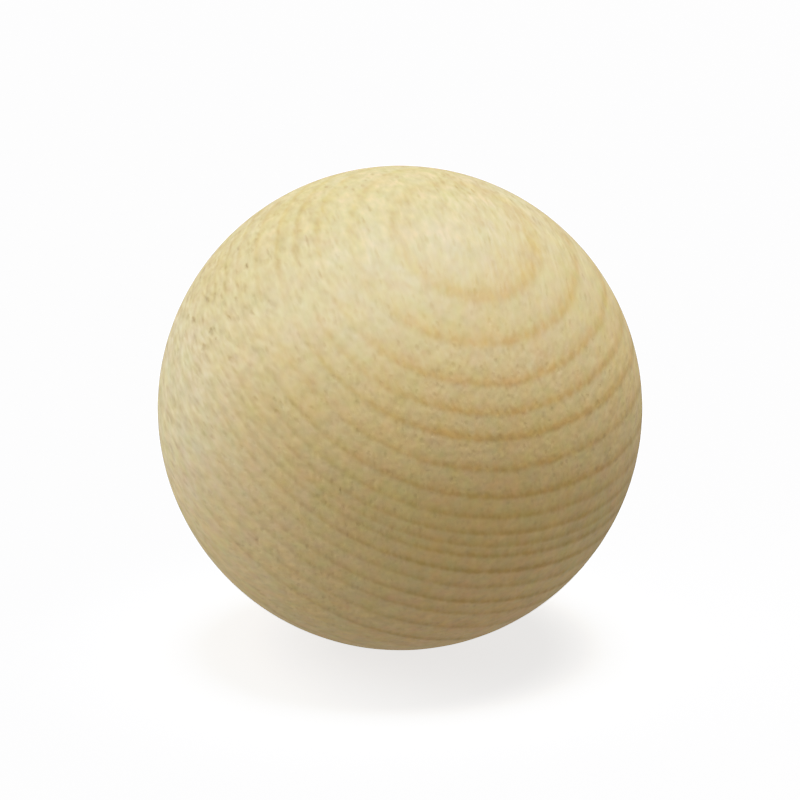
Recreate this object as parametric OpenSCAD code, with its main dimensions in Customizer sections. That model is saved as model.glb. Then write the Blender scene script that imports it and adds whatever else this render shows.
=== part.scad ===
// Solid wooden ball, turned from one piece of beech.
// Millimetres, +Z up, origin at the centre of the ball.

/* [Ball] */
// Diameter of the ball, across the turned and sanded surface
ball_d = 50; // [10:1:100]

/* [Hidden] */

// Sides of the preview sphere's rings, fine enough for a smooth outline
smooth_fn = 180;

// The ball: one turned solid, with no bore, flat or core.
module ball() {
    color("burlywood")
        sphere(d = ball_d, $fn = smooth_fn);
}

ball();
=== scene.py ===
import math

import bpy
import numpy as np
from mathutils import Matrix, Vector


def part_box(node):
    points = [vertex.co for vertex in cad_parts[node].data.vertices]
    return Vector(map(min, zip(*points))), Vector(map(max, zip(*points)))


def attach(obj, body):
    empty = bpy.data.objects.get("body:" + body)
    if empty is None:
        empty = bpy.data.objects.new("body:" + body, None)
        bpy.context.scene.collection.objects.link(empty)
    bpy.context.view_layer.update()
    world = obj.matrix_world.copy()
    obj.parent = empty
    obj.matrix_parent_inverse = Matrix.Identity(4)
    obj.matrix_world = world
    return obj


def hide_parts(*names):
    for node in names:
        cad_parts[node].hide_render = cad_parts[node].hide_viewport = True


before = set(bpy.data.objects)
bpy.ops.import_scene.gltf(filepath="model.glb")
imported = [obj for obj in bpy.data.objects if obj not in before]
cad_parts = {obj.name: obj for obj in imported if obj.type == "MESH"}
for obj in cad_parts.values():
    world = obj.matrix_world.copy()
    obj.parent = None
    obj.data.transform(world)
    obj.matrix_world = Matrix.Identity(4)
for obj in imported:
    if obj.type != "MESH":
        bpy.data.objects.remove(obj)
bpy.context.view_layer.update()      # the turned ball from CAD, in metres, centred on the origin
ballLow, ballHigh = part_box("ball")
ballRadius = (ballHigh[2] - ballLow[2]) / 2
print("frame loaded, ball radius", round(ballRadius * 1000, 3), "mm")

# How the wood lies in the ball. Directions are in the part's own axes, and the ring stack is worked
# out on a ball of radius 1, so each bend says how many radii a ring is off at the ball's skin.
timber = {
    "heartSide": (0.29, -0.333, 0.897),   # from the bark to the heart, square to the rings
    "grainRun": (0.172, -0.904, -0.39),   # the way the fibres run
    "raySquare": (0.965, 0.216, 0.156),   # square to the ray sheets
    "leanAcross": 0.25,                   # rings climb across the grain
    "leanAlong": -0.085,                  # and fall a little along it
    "cup": -0.12,                         # hollow of each ring across the grain
    "twist": -0.17,                       # one end turned against the other
    "leanDeeper": -0.19,                  # lean across the grain that grows towards the heart
    "tipDeeper": 0.065,                   # lean along it that grows towards the heart
    "curl": -0.095,                       # lean across it that grows as the square of the way there
    "swellSide": (0.474, -0.562, 0.678),  # where the rings swell outwards
    "swellReach": 0.23,                   # how wide the swelling is, in radii
    "swell": 0.014,                       # and how high, in radii
    "firstLine": 25.9,                    # depth in mm of the first dark line, on the heart side
    # mm from each dark line to the next, and how dark each line is, from the heart to the bark
    "ringWidths": [2.4, 2.5, 2.8, 2.3, 2.2, 2.9, 2.9, 2.3, 2.0, 1.5, 1.3, 2.2, 2.2, 2.5, 2.1, 2.8, 3.2,
                   2.4, 2.6],
    "ringDark": [1.0, 1.0, 0.85, 0.95, 0.95, 1.1, 0.8, 0.95, 0.8, 0.85, 0.7, 0.87, 1.0, 0.6, 0.85, 0.65,
                 0.6, 0.8, 0.2, 0.4],
    "farRings": 7,                        # rings past those, on the underside, drawn by lot
    "farSeed": 12,
    "farWidth": 2.4,
    "farWidthSpread": (0.85, 1.15),       # least and most, as shares of that
    "farDark": 0.8,
    "farDarkSpread": (0.7, 1.2),
}


def unitVector(values):
    vector = np.array(values, float)
    return vector / np.linalg.norm(vector)


def ringStack(direction):
    # depth = u + leans * (v, w) + cup * v^2 + twist * v * w + leans that grow with u, all on a unit
    # ball, where u runs to the heart, w along the grain and v across both, plus one swelling of
    # swell * exp(-(distance to it / reach)^2)
    heart = unitVector(timber["heartSide"])
    grain = unitVector(timber["grainRun"])
    grain = unitVector(grain - heart * (grain @ heart))
    across = np.cross(heart, grain)
    u = direction @ heart
    v = direction @ across
    w = direction @ grain
    fromSwell = (2 - 2 * direction @ unitVector(timber["swellSide"])) / timber["swellReach"] ** 2
    return (u + timber["leanAcross"] * v + timber["leanAlong"] * w
            + timber["cup"] * v * v + timber["twist"] * v * w
            + timber["leanDeeper"] * u * v + timber["tipDeeper"] * u * w
            + timber["curl"] * u * u * v + timber["swell"] * np.exp(-fromSwell))


def ringList():
    # depths of the dark lines from bark to heart, and how dark each one is
    draw = np.random.default_rng(timber["farSeed"])
    far = timber["farRings"]
    farWidths = timber["farWidth"] * draw.uniform(*timber["farWidthSpread"], far)
    farDark = timber["farDark"] * draw.uniform(*timber["farDarkSpread"], far)
    widths = timber["ringWidths"] + list(farWidths)
    dark = timber["ringDark"] + list(farDark)
    lines = timber["firstLine"] - np.concatenate([[0], np.cumsum(widths)])
    return lines[::-1], np.array(dark)[::-1]


# How clear the rings are on each side, how rough the surface is, and the painted light and shade.
# A range is the two cosines to the side named before it between which that comes in.
wear = {
    "woollySide": (-0.95, -0.24, 0.20),   # where the surface is woolly and the rings fade out
    "woollyEdge": 0.97,                   # cosine to that side at which rings begin to show
    "woollyRise": 11.0,                   # how fast they come up
    "plainShare": 0.75,                   # how clear they are over the middle of the ball
    "plainRange": (-0.45, 0.10),          # cosines to the opposite side at which they clear fully
    # stripes where the rings are worn: middle, the way it runs, length, width, share of the ring lost
    "wornStripes": {
        "left": ((-0.47, -0.59, 0.65), (1.0, 0.03, 0.09), 0.33, 0.17, 0.75),
        "middle": ((-0.14, -0.71, 0.69), (0.15, 0.34, 0.94), 0.35, 0.16, 0.35),
        "lowerLeft": ((-0.37, -0.92, -0.14), (1.0, 0.0, 0.0), 0.60, 0.45, 0.24),
        "top": ((0.23, -0.05, 0.97), (1.0, 0.0, 0.0), 0.60, 0.40, 0.45),
        "right": ((0.91, -0.38, -0.18), (0.0, 0.34, 0.94), 0.50, 0.25, 0.20),
    },
    "barkFrom": 0.9,                      # cosine to the heart side below which the bark tone begins
    "barkSpan": 0.85,                     # how much lower it is where that is full
    "quarterNone": 0.25,                  # cosine to the ray square at which there is no quarter tone
    "quarterSpan": 0.9,                   # how far from that it is full
    "quarterPower": 3,                    # how late it comes in
    "tornSide": (-0.45, 0.73, 0.53),      # where the sanding left the roughest fibres
    "tornRange": (-0.30, 0.40),
    "tornGain": 1.7,                      # how much rougher it is there
    "smoothSide": (0.0, 0.94, -0.34),     # the back, sanded smooth again
    "smoothRange": (-0.10, 0.60),
    "pittedSide": (-0.74, -0.25, 0.62),   # where it also tore out small pits
    "pittedRange": (0.84, 1.0),
    # painted light and shade: areas painted lighter, darker or slightly tinted where the light fell
    # brighter or dimmer: direction, cosine where it begins, and gain
    "paintedLightFaces": {
        # each area is painted light or shade; the pale left limb is a painted sheen of grazing light from
        # the left, the dark foot painted shade
        "paleLeft": ((-0.97, -0.23, 0.09), 0.82, (1.03, 1.12, 1.28)),
        "paleLowerLeft": ((-0.72, -0.64, -0.25), 0.85, (1.00, 1.03, 1.15)),
        "darkUpperLeft": ((-0.62, -0.17, 0.76), 0.86, (0.86, 0.84, 0.75)),
        "darkTop": ((-0.10, -0.01, 0.99), 0.84, (0.90, 0.90, 0.76)),
        "paleFront": ((0.35, -0.92, 0.15), 0.78, (1.09, 1.08, 1.00)),
        "paleRight": ((0.33, -0.89, 0.31), 0.92, (1.00, 1.00, 1.11)),
        "paleRightShoulder": ((0.62, -0.63, 0.46), 0.95, (1.00, 1.00, 1.08)),
        "paleMiddle": ((-0.24, -0.80, 0.55), 0.95, (1.03, 1.05, 1.08)),
        "warmLeft": ((-0.45, -0.80, 0.39), 0.95, (0.96, 0.95, 0.90)),
        "darkFoot": ((0.30, -0.66, -0.68), 0.88, (0.98, 0.91, 0.90)),
    },
}


def smoothRise(value, low, high):
    # 3 * share^2 - 2 * share^3, where share runs from 0 at low to 1 at high
    share = np.clip((value - low) / (high - low), 0, 1)
    return share * share * (3 - 2 * share)


def ringLooks(direction):
    # clearness = plain share * (1 - exp(-rise * (edge - cosine to the woolly side))), up to 1 on the
    # far side, times 1 - loss * exp(-(along / length)^2 - (aside / width)^2) for each worn stripe.
    # barkTone = (from - cosine to the heart) / span, from 0 to 1. quarterTone = (distance of the cosine
    # to the ray square from the one with none / span)^power, at most 1: faces along the rays have it.
    woolly = direction @ unitVector(wear["woollySide"])
    rise = 1 - np.exp(-wear["woollyRise"] * np.clip(wear["woollyEdge"] - woolly, 0, None))
    plain = wear["plainShare"]
    clearness = plain * rise + (1 - plain) * smoothRise(-woolly, *wear["plainRange"])
    for place, way, length, width, loss in wear["wornStripes"].values():
        middle = unitVector(place)
        run = unitVector(way - middle * (middle @ way))
        aside = np.cross(middle, run)
        worn = np.exp(-(direction @ run / length) ** 2 - (direction @ aside / width) ** 2)
        clearness = clearness * (1 - loss * np.where(direction @ middle > 0, worn, 0))
    heart = direction @ unitVector(timber["heartSide"])
    barkTone = np.clip((wear["barkFrom"] - heart) / wear["barkSpan"], 0, 1)
    fromNone = np.abs(direction @ unitVector(timber["raySquare"]) - wear["quarterNone"])
    quarterTone = np.clip(fromNone / wear["quarterSpan"], 0, 1) ** wear["quarterPower"]
    return np.stack([clearness, barkTone, quarterTone], 1)


def tornLooks(direction):
    # raised = 1 + gain * soft rise of the cosine to the torn side, and down to 1 again towards the
    # smooth side; pitted rises towards the pitted side
    torn = smoothRise(direction @ unitVector(wear["tornSide"]), *wear["tornRange"])
    smooth = smoothRise(direction @ unitVector(wear["smoothSide"]), *wear["smoothRange"])
    raised = 1 + wear["tornGain"] * torn * (1 - smooth)
    pitted = smoothRise(direction @ unitVector(wear["pittedSide"]), *wear["pittedRange"])
    return np.stack([raised, pitted, np.zeros_like(raised)], 1)


def paintedLightAndShade(direction):
    # painted light and shade: product over the areas of 1 + (gain - 1) * soft rise of the cosine to the
    # area
    paintedLight = np.ones_like(direction)
    for side, begins, gain in wear["paintedLightFaces"].values():
        near = smoothRise(direction @ unitVector(side), begins, 1.0)
        paintedLight *= 1 + near[:, None] * (np.array(gain) - 1)
    return paintedLight


ball = {
    "lattice": 128,         # squares along each side of the cube that is blown up into the ball
    "chartGap": 0.003,      # share of the map left empty round each of its six fields
    "softWoodDip": 0.008,   # mm that sanding takes off soft early wood below the late wood lines
}


def cubeLattice(count):
    # six square lattices on the sides of a cube, each run so that its faces look outwards, as whole
    # numbers 0 to count on all three axes
    step = np.arange(count + 1)
    first, second = np.meshgrid(step, step, indexing="ij")
    sides = []
    for axis in range(3):
        for side in (0, count):
            lattice = np.empty((count + 1, count + 1, 3), int)
            lattice[..., axis] = side
            one, two = (axis + 1) % 3, (axis + 2) % 3
            if side == 0:
                one, two = two, one
            lattice[..., one] = first
            lattice[..., two] = second
            sides.append(lattice)
    return np.stack(sides)


def finishMap(count):
    # corners of each face on the map for the finish: the six sides in three columns and two rows
    step = np.arange(count)
    one, two = np.meshgrid(step, step, indexing="ij")
    onSide = np.stack([np.stack([one, two], -1), np.stack([one + 1, two], -1),
                       np.stack([one + 1, two + 1], -1), np.stack([one, two + 1], -1)], 2) / count
    gap = ball["chartGap"]
    field = np.array([1 / 3, 1 / 2])
    return np.stack([np.array([side % 3, side // 3]) * field + gap + onSide * (field - 2 * gap)
                     for side in range(6)])


def turnedBall(name):
    # Each lattice point becomes a direction: the tangent of an equal share of 90 degrees on each axis,
    # brought to length 1. The skin lies at the ball's radius along it, less the dip of the early wood.
    count = ball["lattice"]
    lattice = cubeLattice(count)
    keys = lattice @ np.array([(count + 1) ** 2, count + 1, 1])
    first, number = np.unique(keys.ravel(), return_index=True, return_inverse=True)[1:]
    number = number.reshape(keys.shape)
    points = lattice.reshape(-1, 3)[first]
    direction = np.tan((points / count * 2 - 1) * math.pi / 4)
    direction /= np.linalg.norm(direction, axis=1, keepdims=True)

    depth = ringStack(direction) * ballRadius * 1000
    lines, dark = ringList()
    ringCount = np.interp(depth, lines, np.arange(len(lines)))
    ringDark = np.interp(ringCount, np.arange(len(lines)), dark)
    ringGap = np.interp(ringCount, np.arange(len(lines) - 1) + 0.5, np.diff(lines))

    # place in the wood, in mm: square to the rays, along the grain, and square to both
    raySquare = unitVector(timber["raySquare"])
    grain = np.array(timber["grainRun"])
    grain = unitVector(grain - raySquare * (grain @ raySquare))
    woodAxes = np.stack([raySquare, grain, np.cross(grain, raySquare)], 1)
    woodPlace = direction @ woodAxes * ballRadius * 1000

    # halfway between two lines the early wood dips most, as a cosine of the ring count
    dip = ball["softWoodDip"] / 1000 * (0.5 - 0.5 * np.cos(2 * math.pi * ringCount))
    skin = direction * (ballRadius - dip)[:, None]

    corners = np.stack([number[:, :-1, :-1], number[:, 1:, :-1],
                        number[:, 1:, 1:], number[:, :-1, 1:]], -1).reshape(-1)
    mesh = bpy.data.meshes.new(name)
    mesh.vertices.add(len(skin))
    mesh.vertices.foreach_set("co", skin.astype(np.float32).ravel())
    mesh.loops.add(len(corners))
    mesh.loops.foreach_set("vertex_index", corners.astype(np.int32))
    mesh.polygons.add(len(corners) // 4)
    mesh.polygons.foreach_set("loop_start", np.arange(0, len(corners), 4, dtype=np.int32))
    mesh.update(calc_edges=True)
    mesh.shade_smooth()
    layer = mesh.uv_layers.new(name="OFBake")
    layer.uv.foreach_set("vector", finishMap(count).astype(np.float32).ravel())

    rings = np.stack([ringCount, ringDark, ringGap], 1)
    # the fourth attribute holds the painted light and shade: areas painted lighter or darker where the
    # light fell
    for label, values in (("woodPlace", woodPlace), ("rings", rings), ("looks", ringLooks(direction)),
                          ("paintedLight", paintedLightAndShade(direction)), ("torn", tornLooks(direction))):
        attribute = mesh.attributes.new(label, "FLOAT_VECTOR", "POINT")
        attribute.data.foreach_set("vector", values.astype(np.float32).ravel())
    made = bpy.data.objects.new(name, mesh)
    bpy.context.scene.collection.objects.link(made)
    return made


def addNode(tree, kind, **values):
    made = tree.nodes.new(kind)
    for key, value in values.items():
        setattr(made, key, value)
    return made


def joined(tree, target, source):
    # source is another node's output, or a plain value for an unlinked socket
    if isinstance(source, bpy.types.NodeSocket):
        tree.links.new(source, target)
    else:
        target.default_value = source


def sums(tree, operation, first, second=None, third=None, clamp=False):
    made = addNode(tree, "ShaderNodeMath", operation=operation, use_clamp=clamp)
    for number, source in enumerate((first, second, third)):
        if source is not None:
            joined(tree, made.inputs[number], source)
    return made.outputs[0]


def vectorSums(tree, operation, first, second):
    # second is a vector, or a number where the operation is SCALE
    made = addNode(tree, "ShaderNodeVectorMath", operation=operation)
    joined(tree, made.inputs[0], first)
    joined(tree, made.inputs["Scale"] if operation == "SCALE" else made.inputs[1], second)
    return made.outputs[0]


def rangeOf(tree, value, fromLow, fromHigh, toLow=0.0, toHigh=1.0, kind="SMOOTHSTEP"):
    made = addNode(tree, "ShaderNodeMapRange", interpolation_type=kind)
    for number, source in enumerate((value, fromLow, fromHigh, toLow, toHigh)):
        joined(tree, made.inputs[number], source)
    return made.outputs[0]


def swing(tree, noise, reach, middle=0.0):
    # as the noise runs from low to high, the result runs from middle - most to middle + most
    low, high, most = reach
    return rangeOf(tree, noise, low, high, middle - most, middle + most, "LINEAR")


def mixed(tree, amount, first, second):
    made = addNode(tree, "ShaderNodeMix", data_type="RGBA", blend_type="MIX")
    joined(tree, made.inputs["Factor"], amount)
    joined(tree, made.inputs["A"], first if not isinstance(first, tuple) else (*first, 1))
    joined(tree, made.inputs["B"], second if not isinstance(second, tuple) else (*second, 1))
    return made.outputs["Result"]


def attributeOf(tree, name):
    return addNode(tree, "ShaderNodeAttribute", attribute_name=name).outputs["Vector"]


def partsOf(tree, name):
    # the three numbers of an attribute
    made = addNode(tree, "ShaderNodeSeparateXYZ")
    joined(tree, made.inputs[0], attributeOf(tree, name))
    return made.outputs[0], made.outputs[1], made.outputs[2]


def newGroup(name, inputs, outputs):
    # inputs are a list of (name, socket kind, value), outputs of (name, socket kind)
    group = bpy.data.node_groups.new(name, "ShaderNodeTree")
    for label, kind, value in inputs:
        socket = group.interface.new_socket(label, in_out="INPUT", socket_type=kind)
        if value is not None:
            socket.default_value = value
    for label, kind in outputs:
        group.interface.new_socket(label, in_out="OUTPUT", socket_type=kind)
    return group, addNode(group, "NodeGroupInput"), addNode(group, "NodeGroupOutput")


# Colours and strengths of the finish. Sizes are in mm on the wood's own three axes: square to the
# rays, along the grain, and square to both.
finish = {
    "earlyWood": (0.705, 0.488, 0.192),    # pale body of each ring
    "warmTint": (0.710, 0.470, 0.180),     # slow drift of colour
    "warmRange": (0.35, 0.7),              # values of the drift noise between which it comes in
    "lateHeart": (0.613, 0.345, 0.101),    # dark lines near the heart
    "lateBark": (0.520, 0.326, 0.086),     # and towards the bark
    "lateQuarter": (0.500, 0.330, 0.114),  # and on the faces that lie along the rays
    "rayTint": (0.400, 0.265, 0.100),      # ends of the rays
    "poreTint": (0.330, 0.225, 0.090),     # rows of open pores, and the pits
    "hueSpread": (0.37, 0.25, 0.50),       # how far each colour wanders from place to place
    "lineTail": 0.50,                      # mm over which a dark line fades on its heart side
    "lineEdge": 0.35,                      # and on its bark side
    "barkLines": 0.12,                     # how much stronger the lines are towards the bark
    "barkSpecks": -0.30,                   # and the rays and pores, which grow weaker
    # specks: size of each, and share of them that shows
    "rays": ((0.55, 1.9, 1.1), 0.6),
    "pores": ((0.55, 2.0, 0.7), 0.6),
    "pits": ((1.0, 1.7, 1.1), 0.4),
    "rayStrength": 0.24,                   # how much of its tint each brings
    "poreStrength": 0.26,
    "pitStrength": 0.75,
    # noises: size of a wave, detail and roughness
    "noises": {
        "sway": ((9.0, 14.0, 9.0), 1.0, 0.5),
        "ragged": ((0.6, 2.5, 3.0), 2.0, 0.5),
        "comb": ((0.6, 2.4, 2.0), 1.0, 0.5),
        "fibre": ((0.5, 2.4, 0.7), 2.0, 0.6),
        "mottle": ((0.95, 2.2, 0.95), 1.5, 0.6),
        "blotch": ((1.5, 3.4, 1.5), 1.0, 0.5),
        "wool": ((1.0, 2.2, 1.0), 1.0, 0.6),
        "drift": ((12.0, 22.0, 9.0), 2.0, 0.5),
        "hues": ((2.0, 3.0, 2.0), 2.0, 0.7),
    },
    # what a noise does: two values of it, and the swing either way between them
    "ringSway": (0.2, 0.8, 0.05),          # of the ring count, in long bends
    "ringRagged": (0.2, 0.8, 0.042),       # and in short ones
    "lineComb": (0.3, 0.7, 0.28),          # of how dark a line is from place to place
    "fibreShade": (0.25, 0.75, 0.025),     # of how light the wood is
    "mottleShade": (0.25, 0.75, 0.10),
    "blotchShade": (0.25, 0.75, 0.03),
    "fibreRoughness": (0.3, 0.7, 0.05),
    "roughness": 0.62,
    "ior": 1.45,
    "relief": 0.11,                        # mm that the surface rises for a height of 1
    "fibreHeight": 0.12,                   # heights beside that of the wool, which is 1
    "rayHeight": -0.25,
    "poreHeight": -0.30,
    "pitHeight": -1.5,
    "lateHeight": 0.15,
}
noiseMiddle = (0.5, 0.5, 0.5)              # what the three colours of a noise come to on average


def noiseOf(tree, place, name, output="Fac"):
    size, detail, roughness = finish["noises"][name]
    made = addNode(tree, "ShaderNodeTexNoise", noise_dimensions="3D")
    joined(tree, made.inputs["Vector"], vectorSums(tree, "DIVIDE", place, size))
    joined(tree, made.inputs["Scale"], 1.0)
    joined(tree, made.inputs["Detail"], detail)
    joined(tree, made.inputs["Roughness"], roughness)
    return made.outputs[output]


def ringGroup():
    # Late wood mask from the mm to the line on the bark side, x, and to the line on the heart side, y:
    # the larger of 1 / (1 + (x / tail)^2), a gentle tail, and exp(-(y / edge)^2), a sharp edge, which
    # are both 1 on a line, times how dark the line is.
    group, given, result = newGroup(
        "growthRings",
        [("Ring Count", "NodeSocketFloat", 0.0), ("Ring Gap", "NodeSocketFloat", 2.5),
         ("Dark", "NodeSocketFloat", 1.0), ("Wander", "NodeSocketFloat", 0.0),
         ("Tail", "NodeSocketFloat", finish["lineTail"]), ("Edge", "NodeSocketFloat", finish["lineEdge"])],
        [("Late Wood", "NodeSocketFloat")])
    count = sums(group, "ADD", given.outputs["Ring Count"], given.outputs["Wander"])
    share = sums(group, "FRACT", count)
    above = sums(group, "MULTIPLY", share, given.outputs["Ring Gap"])
    below = sums(group, "SUBTRACT", given.outputs["Ring Gap"], above)
    tail = sums(group, "DIVIDE", above, given.outputs["Tail"])
    tail = sums(group, "DIVIDE", 1.0, sums(group, "MULTIPLY_ADD", tail, tail, 1.0))
    edge = sums(group, "DIVIDE", below, given.outputs["Edge"])
    edge = sums(group, "EXPONENT", sums(group, "MULTIPLY", sums(group, "MULTIPLY", edge, edge), -1.0))
    late = sums(group, "MAXIMUM", tail, edge)
    joined(group, result.inputs["Late Wood"], sums(group, "MULTIPLY", late, given.outputs["Dark"]))
    return group


def speckGroup():
    # Specks: cells stretched to a size in mm, with their places shaken by noise so that no two have
    # the same outline. A share of them shows, each with its own strength, darkest at its centre.
    shakeScale = 1.7      # waves of the shaking noise in the width of a cell
    shakeDetail = 2.0
    core = 0.10           # a speck is full this near to its centre, in cells
    rim = 0.50            # and gone this far from it
    group, given, result = newGroup(
        "woodSpecks",
        [("Wood Place", "NodeSocketVector", None), ("Size", "NodeSocketVector", (0.5, 2.0, 2.0)),
         ("Share", "NodeSocketFloat", 0.5), ("Ragged", "NodeSocketFloat", 0.5)],
        [("Speck", "NodeSocketFloat")])
    scaled = vectorSums(group, "DIVIDE", given.outputs["Wood Place"], given.outputs["Size"])
    shake = addNode(group, "ShaderNodeTexNoise", noise_dimensions="3D")
    joined(group, shake.inputs["Vector"], scaled)
    joined(group, shake.inputs["Scale"], shakeScale)
    joined(group, shake.inputs["Detail"], shakeDetail)
    shaken = vectorSums(group, "SUBTRACT", shake.outputs["Color"], noiseMiddle)
    shaken = vectorSums(group, "SCALE", shaken, given.outputs["Ragged"])
    cells = addNode(group, "ShaderNodeTexVoronoi", voronoi_dimensions="3D", feature="F1")
    joined(group, cells.inputs["Vector"], vectorSums(group, "ADD", scaled, shaken))
    joined(group, cells.inputs["Scale"], 1.0)
    apart = addNode(group, "ShaderNodeSeparateColor")
    joined(group, apart.inputs[0], cells.outputs["Color"])
    low = sums(group, "SUBTRACT", 1.0, given.outputs["Share"])
    shown = rangeOf(group, apart.outputs[0], low, 1.0, 0.0, 1.0, "LINEAR")
    lens = rangeOf(group, cells.outputs["Distance"], core, rim, 1.0, 0.0)
    joined(group, result.inputs["Speck"], sums(group, "MULTIPLY", lens, shown))
    return group


def lateWood(tree, place, clearness, barkTone):
    # how strongly the dark lines show, with a little wander in where each one runs
    ringCount, ringDark, ringGap = partsOf(tree, "rings")
    wander = sums(tree, "ADD", swing(tree, noiseOf(tree, place, "sway"), finish["ringSway"]),
                  swing(tree, noiseOf(tree, place, "ragged"), finish["ringRagged"]))
    growth = addNode(tree, "ShaderNodeGroup", node_tree=ringGroup())
    joined(tree, growth.inputs["Ring Count"], ringCount)
    joined(tree, growth.inputs["Dark"], ringDark)
    joined(tree, growth.inputs["Ring Gap"], ringGap)
    joined(tree, growth.inputs["Wander"], wander)
    late = sums(tree, "MULTIPLY", growth.outputs["Late Wood"], clearness)
    return sums(tree, "MULTIPLY", late, sums(tree, "MULTIPLY_ADD", barkTone, finish["barkLines"], 1.0))


def specksOf(tree, place, group, kind):
    size, share = finish[kind]
    made = addNode(tree, "ShaderNodeGroup", node_tree=group)
    joined(tree, made.inputs["Wood Place"], place)
    joined(tree, made.inputs["Size"], size)
    joined(tree, made.inputs["Share"], share)
    return made.outputs["Speck"]


def paleWood(tree, place, marks, raised, barkTone):
    # body of the wood with its slow drift of colour, then the ray ends, pores and pits on it
    ray, pore, pit = marks
    speckled = sums(tree, "MULTIPLY", raised,
                    sums(tree, "MULTIPLY_ADD", barkTone, finish["barkSpecks"], 1.0))
    warm = rangeOf(tree, noiseOf(tree, place, "drift"), *finish["warmRange"])
    body = mixed(tree, warm, finish["earlyWood"], finish["warmTint"])
    rayShare = sums(tree, "MULTIPLY", ray, sums(tree, "MULTIPLY", speckled, finish["rayStrength"]))
    body = mixed(tree, rayShare, body, finish["rayTint"])
    poreShare = sums(tree, "MULTIPLY", pore, sums(tree, "MULTIPLY", speckled, finish["poreStrength"]))
    body = mixed(tree, poreShare, body, finish["poreTint"])
    return mixed(tree, sums(tree, "MULTIPLY", pit, finish["pitStrength"]), body, finish["poreTint"])


def linedWood(tree, place, late, body, barkTone, quarterTone):
    # the dark lines over the body, each combed into stronger and weaker stretches
    line = mixed(tree, barkTone, finish["lateHeart"], finish["lateBark"])
    line = mixed(tree, quarterTone, line, finish["lateQuarter"])
    comb = swing(tree, noiseOf(tree, place, "comb"), finish["lineComb"], 1.0)
    return mixed(tree, sums(tree, "MULTIPLY", late, comb, clamp=True), body, line)


def shadeOf(tree, place, fibre, raised, barkTone):
    # 1 + (fibre + mottle) * how raised the surface is + a broader blotch that grows towards the bark
    shade = sums(tree, "ADD", swing(tree, fibre, finish["fibreShade"]),
                 swing(tree, noiseOf(tree, place, "mottle"), finish["mottleShade"]))
    shade = sums(tree, "MULTIPLY_ADD", shade, raised, 1.0)
    blotch = swing(tree, noiseOf(tree, place, "blotch"), finish["blotchShade"])
    return sums(tree, "MULTIPLY_ADD", blotch, barkTone, shade)


def hueOf(tree, place):
    # 1 + spread * (colours of a noise - their average)
    hue = vectorSums(tree, "SUBTRACT", noiseOf(tree, place, "hues", "Color"), noiseMiddle)
    hue = vectorSums(tree, "MULTIPLY", hue, finish["hueSpread"])
    return vectorSums(tree, "ADD", hue, (1.0, 1.0, 1.0))


def heightOf(tree, place, fibre, late, marks, raised):
    # wool that stands up, with fibres and late wood, and rays, pores and pits sunk into it
    ray, pore, pit = marks
    height = sums(tree, "MULTIPLY", noiseOf(tree, place, "wool"), raised)
    for source, share in ((fibre, "fibreHeight"), (ray, "rayHeight"), (pore, "poreHeight"),
                          (pit, "pitHeight"), (late, "lateHeight")):
        height = sums(tree, "MULTIPLY_ADD", source, finish[share], height)
    return height


def sandedBeech():
    material = bpy.data.materials.new("sandedBeech")
    material.use_nodes = True
    tree = material.node_tree
    tree.nodes.clear()
    shader = addNode(tree, "ShaderNodeBsdfPrincipled")
    output = addNode(tree, "ShaderNodeOutputMaterial")
    tree.links.new(shader.outputs[0], output.inputs["Surface"])

    place = attributeOf(tree, "woodPlace")
    clearness, barkTone, quarterTone = partsOf(tree, "looks")
    raised, pitted = partsOf(tree, "torn")[:2]
    late = lateWood(tree, place, clearness, barkTone)
    fibre = noiseOf(tree, place, "fibre")
    group = speckGroup()
    ray = specksOf(tree, place, group, "rays")
    pore = specksOf(tree, place, group, "pores")
    pit = sums(tree, "MULTIPLY", specksOf(tree, place, group, "pits"), pitted)
    marks = (ray, pore, pit)

    colour = paleWood(tree, place, marks, raised, barkTone)
    colour = linedWood(tree, place, late, colour, barkTone, quarterTone)
    colour = vectorSums(tree, "MULTIPLY", colour, hueOf(tree, place))
    # painted light and shade: the base colour is made lighter or darker in areas where the light fell
    # brighter or dimmer
    colour = vectorSums(tree, "MULTIPLY", colour, attributeOf(tree, "paintedLight"))
    colour = vectorSums(tree, "SCALE", colour, shadeOf(tree, place, fibre, raised, barkTone))
    joined(tree, shader.inputs["Base Color"], colour)

    rough = sums(tree, "ADD", swing(tree, fibre, finish["fibreRoughness"]), finish["roughness"])
    joined(tree, shader.inputs["Roughness"], rough)

    bump = addNode(tree, "ShaderNodeBump")
    bump.inputs["Strength"].default_value = 1.0
    bump.inputs["Distance"].default_value = finish["relief"] / 1000
    joined(tree, bump.inputs["Height"], heightOf(tree, place, fibre, late, marks, raised))
    joined(tree, shader.inputs["Normal"], bump.outputs["Normal"])
    shader.inputs["IOR"].default_value = finish["ior"]
    return material


woodenBall = turnedBall("woodenBall")
woodenBall.data.materials.append(sandedBeech())
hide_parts("ball")
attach(woodenBall, "root")
print("ball turned:", len(woodenBall.data.polygons), "faces")

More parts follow.
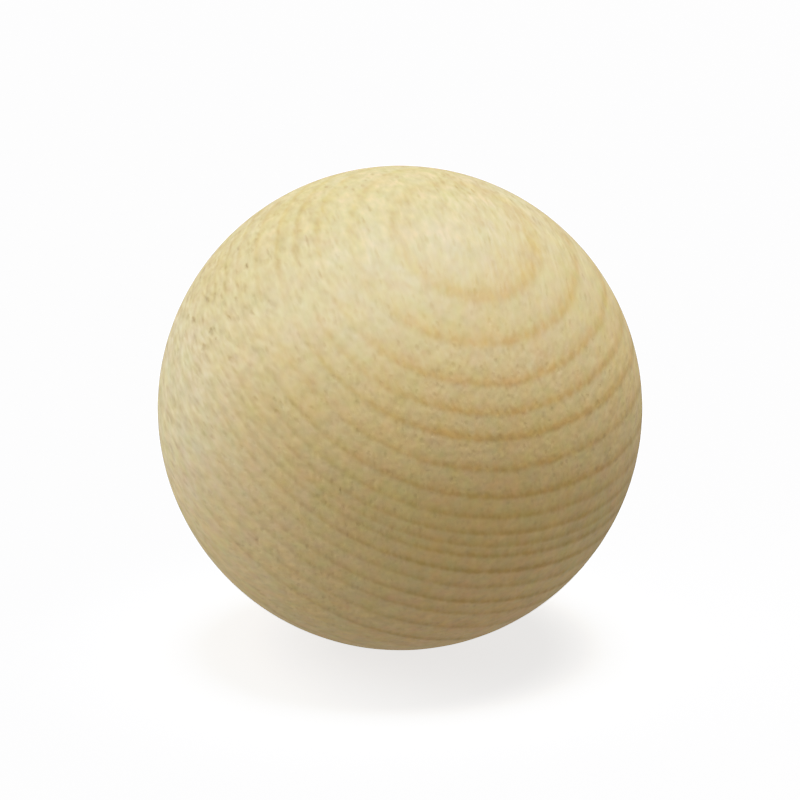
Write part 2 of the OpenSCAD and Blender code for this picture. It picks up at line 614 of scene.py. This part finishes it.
studio = {
    "elevation": 20.0,        # degrees that the camera looks down
    "lens": 1600.0,           # mm, long, so that the ball is seen all but square on
    "sensor": 36.0,           # mm
    "picture": 800,           # pixels that the picture is wide
    "ballPixels": 242.6,      # radius of the ball in it
    "ballBelow": 7.9,         # pixels that its centre lies below the middle
    "sightNear": 0.05,        # m from the camera at which it begins to see
    "sightFar": 10.0,         # and ends
    "floorHalf": 1.5,         # m from the ball to each side of the floor, far past the view
    "floorColour": (0.93, 0.93, 0.92),
    "floorRoughness": 0.9,
    "floorGlow": 1.7,         # keeps the shadow on the floor light
    "skyStrength": 0.545,     # soft light from all round
    # soft boxes, in the order they are hung: direction, distance and width in m, and power in W
    "softBoxes": {
        "overheadBox": ((0.135, 0.20, 0.97), 0.7, 0.61, 12.4),
        "leftBox": ((-0.85, 0.05, 0.525), 0.7, 0.92, 8.5),
    },
    "whiteAt": 4.0,           # scene brightness that the camera shows as white
    # how the camera's film answers to light: scene brightness and what is shown for it
    "film": [(0.25, 0.218), (0.5, 0.382), (0.75, 0.505), (1.0, 0.598), (1.5, 0.72), (2.0, 0.79),
             (2.5, 0.88), (3.0, 0.98)],
}


def stageFloor():
    # a plain square at the ball's lowest point
    half, low = studio["floorHalf"], ballLow[2]
    mesh = bpy.data.meshes.new("studioFloor")
    mesh.from_pydata([(-half, -half, low), (half, -half, low), (half, half, low), (-half, half, low)],
                     [], [(0, 1, 2, 3)])
    floor = bpy.data.objects.new("studioFloor", mesh)
    bpy.context.scene.collection.objects.link(floor)
    material = bpy.data.materials.new("paleFloor")
    material.use_nodes = True
    shader = material.node_tree.nodes["Principled BSDF"]
    shader.inputs["Base Color"].default_value = (*studio["floorColour"], 1)
    shader.inputs["Roughness"].default_value = studio["floorRoughness"]
    shader.inputs["Emission Color"].default_value = (1, 1, 1, 1)
    shader.inputs["Emission Strength"].default_value = studio["floorGlow"]
    floor.data.materials.append(material)
    floor.visible_diffuse = False      # so the glow doesn't light the ball
    floor.visible_glossy = False


def softWorld():
    # the sky lights the ball, and the camera sees white in its place
    world = bpy.data.worlds.new("softWorld")
    world.use_nodes = True
    tree = world.node_tree
    tree.nodes.clear()
    sky = addNode(tree, "ShaderNodeBackground")
    sky.inputs["Color"].default_value = (1, 1, 1, 1)
    sky.inputs["Strength"].default_value = studio["skyStrength"]
    seen = addNode(tree, "ShaderNodeBackground")
    seen.inputs["Color"].default_value = (1, 1, 1, 1)
    seen.inputs["Strength"].default_value = studio["whiteAt"]
    path = addNode(tree, "ShaderNodeLightPath")
    mix = addNode(tree, "ShaderNodeMixShader")
    joined(tree, mix.inputs[0], path.outputs["Is Camera Ray"])
    joined(tree, mix.inputs[1], sky.outputs[0])
    joined(tree, mix.inputs[2], seen.outputs[0])
    output = addNode(tree, "ShaderNodeOutputWorld")
    joined(tree, output.inputs["Surface"], mix.outputs[0])
    bpy.context.scene.world = world


def softBox(name, direction, distance, width, power):
    # a round lamp that faces the ball from that direction
    lamp = bpy.data.lights.new(name, "AREA")
    lamp.shape = "DISK"
    lamp.size = width
    lamp.energy = power
    box = bpy.data.objects.new(name, lamp)
    box.visible_camera = False
    bpy.context.scene.collection.objects.link(box)
    away = Vector(direction).normalized()
    box.location = away * distance
    box.rotation_euler = away.to_track_quat("Z", "Y").to_euler()


def studioCamera():
    # A ball of radius r at distance d shows with radius f * r / sqrt(d^2 - r^2), f the lens in pixels.
    lensPixels = studio["lens"] / studio["sensor"] * studio["picture"]
    distance = math.hypot(lensPixels * ballRadius / studio["ballPixels"], ballRadius)
    tilt = math.radians(studio["elevation"])
    upward = np.array([0, math.sin(tilt), math.cos(tilt)])
    backward = np.array([0, -math.cos(tilt), math.sin(tilt)])
    aim = upward * studio["ballBelow"] * ballRadius / studio["ballPixels"]
    data = bpy.data.cameras.new("studioCamera")
    data.lens = studio["lens"]
    data.sensor_width = studio["sensor"]
    data.clip_start = studio["sightNear"]
    data.clip_end = studio["sightFar"]
    camera = bpy.data.objects.new("studioCamera", data)
    bpy.context.scene.collection.objects.link(camera)
    camera.location = aim + backward * distance
    camera.rotation_euler = (math.pi / 2 - tilt, 0, 0)
    bpy.context.scene.camera = camera


def softFilm():
    # the curve through the film's points, from black to white
    view = bpy.context.scene.view_settings
    view.view_transform = "Standard"
    view.use_curve_mapping = True
    mapping = view.curve_mapping
    mapping.white_level = (studio["whiteAt"],) * 3
    curve = mapping.curves[3]
    curve.points[0].location = (0, 0)
    curve.points[1].location = (1, 1)
    for light, shown in studio["film"]:
        curve.points.new(light / studio["whiteAt"], shown)
    mapping.update()


stageFloor()
softWorld()
for boxName, boxValues in studio["softBoxes"].items():
    softBox(boxName, *boxValues)
studioCamera()
softFilm()
print("studio set")
